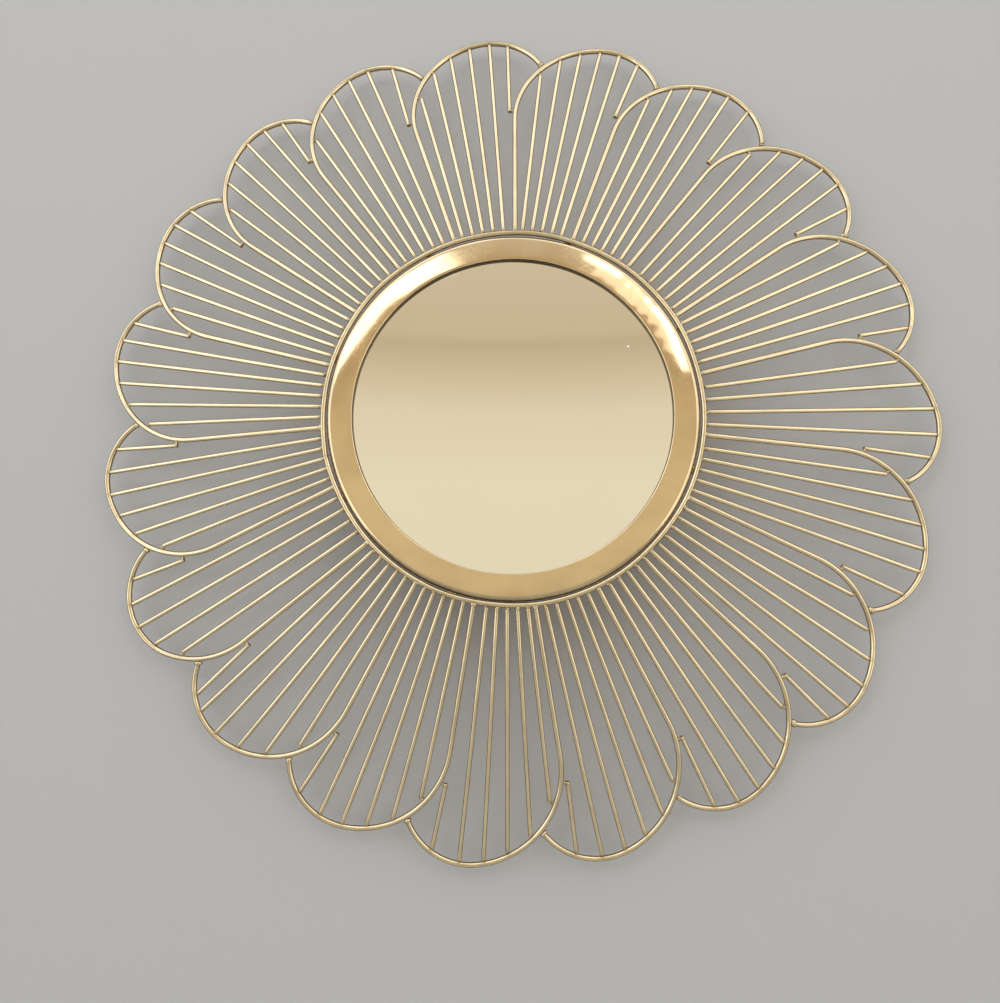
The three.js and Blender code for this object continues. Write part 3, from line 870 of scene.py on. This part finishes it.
def uncut_petal(number):
    """A petal wire's line, and the number of its points before its last bend: a straight leg
    from the ring, the shoulder bend, and the whole tip bend."""
    petal = PETALS[number % len(PETALS)]
    leg, turn = leg_angle(number), petal.get("turn", SHOULDER_TURN_DEG)
    foot = flat(RING_RADIUS + RING_WIRE / 2 - WELD_SINK, foot_angle(number))
    leg_end = flat(LEG_END_RADIUS + petal["out"], leg)
    shares = np.concatenate([RIB_STEPS / LEG_LENGTH, np.linspace(LEG_EVEN_FROM, 1.0, 14)])
    straight = foot + (leg_end - foot) * shares[:, None]
    shoulder = bend(leg_end, leg, SHOULDER_BEND, turn)
    tip = bend(shoulder[-1], leg + turn, TIP_BEND, TIP_TURN_DEG)
    return np.concatenate([straight, shoulder, tip]), len(straight) + len(shoulder)


def nearest_on(line, points):
    """For each point, the distance to a line of points, the nearest spot on it and the line's
    direction there: the best over all its segments, each cut off at its ends."""
    start, span = line[:-1], np.diff(line, axis=0)
    share = ((points[:, None] - start) * span).sum(-1) / (span ** 2).sum(-1)
    spots = start + span * np.clip(share, 0, 1)[..., None]
    distance = np.linalg.norm(spots - points[:, None], axis=-1)
    best = distance.argmin(1)
    pick = np.arange(len(points))
    return distance[pick, best], spots[pick, best], unit(span)[best]


def cut_petal(number):
    """The petal wire's line, cut where it butts against the next petal's wire."""
    line, shoulder_end = uncut_petal(number)
    following, _ = uncut_petal(number + 1)
    fine = np.linspace(shoulder_end - 1, len(line) - 1, TIP_SAMPLES)
    low = np.minimum(fine.astype(int), len(line) - 2)
    tip = line[low] + (line[low + 1] - line[low]) * (fine - low)[:, None]
    distance, _, _ = nearest_on(following, tip)
    met = np.argmax(distance <= PETAL_WIRE - WELD_SINK)
    whole = low[met] + 1
    return np.concatenate([line[:whole], tip[met:met + 1]])


def arc_at(line, degrees):
    """Where a ray from the middle last crosses the petal wire, and the wire's direction there."""
    ray = flat(1.0, degrees)
    side = line[:, 0] * ray[1] - line[:, 1] * ray[0]
    crossings = np.flatnonzero(side[1:-1] * side[2:] <= 0) + 1
    if len(crossings) == 0:
        return line[-1], unit(line[-1] - line[-2])
    at = crossings[-1]
    spot = line[at] + (line[at + 1] - line[at]) * side[at] / (side[at] - side[at + 1])
    return spot, unit(line[at + 1] - line[at])


def rib_line(foot, head, arc_direction, gap):
    """A straight rib from its foot to where the near corner of its square-cut end is a gap away
    from the arc's side, with its points close together at both ends, where it is welded."""
    direction = unit(head - foot)
    cosine = abs(direction @ arc_direction)
    sine = max(np.sqrt(1 - cosine ** 2), LEAST_SINE)
    short = (PETAL_WIRE / 2 + RIB_WIRE / 2 * cosine + gap) / sine
    length = np.linalg.norm(head - foot) - short
    ends = RIB_STEPS[RIB_STEPS < length * END_SHARE]
    middle = np.linspace(ends[-1], length - ends[-1], 8)[1:-1]
    steps = np.concatenate([ends, middle, length - ends[::-1]])
    return foot + direction * steps[:, None]


def peg(end, line):
    """The place, direction and half sizes of the weld that ties a rib's end to a wire beside it:
    halfway over the gap, and a little longer across than the gap is wide."""
    distance, spot, way = nearest_on(line, end[None])
    gap = distance[0] - PETAL_WIRE / 2
    centre = end + unit(spot[0] - end) * gap / 2
    return centre, way[0], (PEG_BEAD[0], gap / 2 + PEG_BEAD[1], PEG_BEAD[2])


def swept_wire(line, wire, sides):
    """A round wire: at each point of its line a circle square to the line, starting at the front.
    Both ends are cut square with a slightly rounded rim, and closed by a fan of faces."""
    tangent = unit(np.gradient(line, axis=0))
    rim = RIM_SHARE * wire / 2
    centre = np.concatenate([line[:1], line[:1] + tangent[:1] * rim, line[1:-1],
                             line[-1:] - tangent[-1:] * rim, line[-1:]])
    tangent = np.concatenate([tangent[:1], tangent, tangent[-1:]])
    front = np.array([0.0, -1.0, 0.0]) - tangent * -tangent[:, 1:2]
    front = unit(front)
    side = np.cross(tangent, front)
    reach = np.full(len(centre), wire / 2)
    reach[[0, -1]] -= rim
    turn = np.linspace(0, 2 * np.pi, sides, endpoint=False)
    forward, sideways = np.cos(turn)[None, :, None], np.sin(turn)[None, :, None]
    circle = forward * front[:, None] + sideways * side[:, None]
    points = (centre[:, None] + reach[:, None, None] * circle).reshape(-1, 3)
    along = np.concatenate([[0.0], np.cumsum(np.linalg.norm(np.diff(centre, axis=0), axis=1))])
    along = along + chance.uniform(0, 10)
    drawn = np.stack(np.broadcast_arrays(
        np.cos(turn)[None], np.sin(turn)[None], along[:, None]), -1)
    drawn = np.concatenate([drawn.reshape(-1, 3), [(0, 0, along[0]), (0, 0, along[-1])]])
    quads = grid_faces(len(centre), sides, False)[:, ::-1]
    ring = np.arange(sides)
    last = (len(centre) - 1) * sides
    caps = np.concatenate([
        np.stack([np.full(sides, len(points)), (ring + 1) % sides, ring], -1),
        np.stack([np.full(sides, len(points) + 1), last + ring, last + (ring + 1) % sides], -1)])
    points = np.concatenate([points, centre[:1], centre[-1:]])
    return points, quads.tolist() + caps.tolist(), drawn


def petal_wires(number):
    """One petal with its ribs: the points, faces, drawn directions and browned shares of its arc
    wire, its full ribs, its short rib and all the lumps of weld metal that join them."""
    petal = PETALS[number]
    arc = cut_petal(number)
    following, _ = uncut_petal(number + 1)
    wires = [(arc, PETAL_WIRE, PETAL_SIDES)]
    welds = []
    share = np.linspace(0, 1, petal["ribs"])
    head_degs = petal["heads"][0] + (petal["heads"][1] - petal["heads"][0]) * share
    ring_edge = RING_RADIUS + RING_WIRE / 2
    for rib, (foot_deg, head_deg) in enumerate(zip(rib_foot_angles(number), head_degs)):
        foot_gap = chance.uniform(*FOOT_GAPS)
        foot = flat(ring_edge + foot_gap, foot_deg)
        head, arc_way = arc_at(arc, even_angle(number) + head_deg)
        gap = chance.uniform(*(FIRST_HEAD_GAPS if rib == 0 else HEAD_GAPS))
        line = rib_line(foot, head, arc_way, gap)
        wires.append((line, RIB_WIRE, RIB_SIDES))
        welds.append(peg(line[-1], arc))
        beside = flat(1.0, foot_deg + 90)
        weld = flat(ring_edge + foot_gap / 2, foot_deg) + beside * chance.normal(0, FOOT_SHIFT)
        sizes = (FOOT_BEAD[0], foot_gap / 2 + FOOT_BEAD[1], FOOT_BEAD[2])
        welds.append((weld, beside, sizes))
    _, beside, leg_way = nearest_on(following, flat(petal["weld"], leg_angle(number + 1))[None])
    outwards = np.array([-leg_way[0, 1], leg_way[0, 0]])
    end = beside[0] + outwards * ((PETAL_WIRE + RIB_WIRE) / 2 + LINK_GAP)
    head, arc_way = arc_at(arc, even_angle(number) + petal["short"])
    short = rib_line(end, head, arc_way, HEAD_GAPS[0])
    wires.append((short, RIB_WIRE, RIB_SIDES))
    welds.append(peg(short[-1], arc))
    welds.append(peg(short[1], following))
    _, _, butt_way = nearest_on(following, arc[-1:])
    welds.append((arc[-1], butt_way[0], BUTT_BEAD))
    leg_foot = foot_angle(number)
    welds.append((flat(ring_edge, leg_foot), flat(1.0, leg_foot + 90), LEG_BEAD))
    points, faces, drawn, tone = [], [], [], []
    count = 0
    for line, wire, sides in wires:
        wire_points, wire_faces, wire_drawn = swept_wire(dished(line), wire, sides)
        faces += [[corner + count for corner in face] for face in wire_faces]
        points.append(wire_points)
        drawn.append(wire_drawn)
        tone.append(np.full(len(wire_points), ARC_TONE if wire == PETAL_WIRE else 0.0))
        count += len(wire_points)
    beads, along, sizes = (np.array(column) for column in zip(*welds))
    grown = chance.uniform(*BEAD_GROWTH, (len(beads), 1))
    lie = unit(dished(beads + SMALL_STEP * along) - dished(beads))
    bead_points, bead_faces = weld_beads(dished(beads), lie, sizes * grown)
    faces += [[corner + count for corner in face] for face in bead_faces]
    points = np.concatenate([*points, bead_points])
    drawn = np.concatenate([*drawn, BEAD_DRAWN_SCALE * bead_points])
    tone = np.concatenate([*tone, np.zeros(len(bead_points))])
    return points, faces, drawn, np.maximum(tone, heat_from(points, dished(beads)))


for number in range(len(PETALS)):
    points, faces, drawn, heat = petal_wires(number)
    name = f"petal_{number + 1:02d}"
    piece = made_mesh(f"{name}_wires", points, faces)
    give_wire_marks(piece, drawn, heat)
    piece.data.materials.append(drawn_wire)
    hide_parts(name)
    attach(piece, "root")
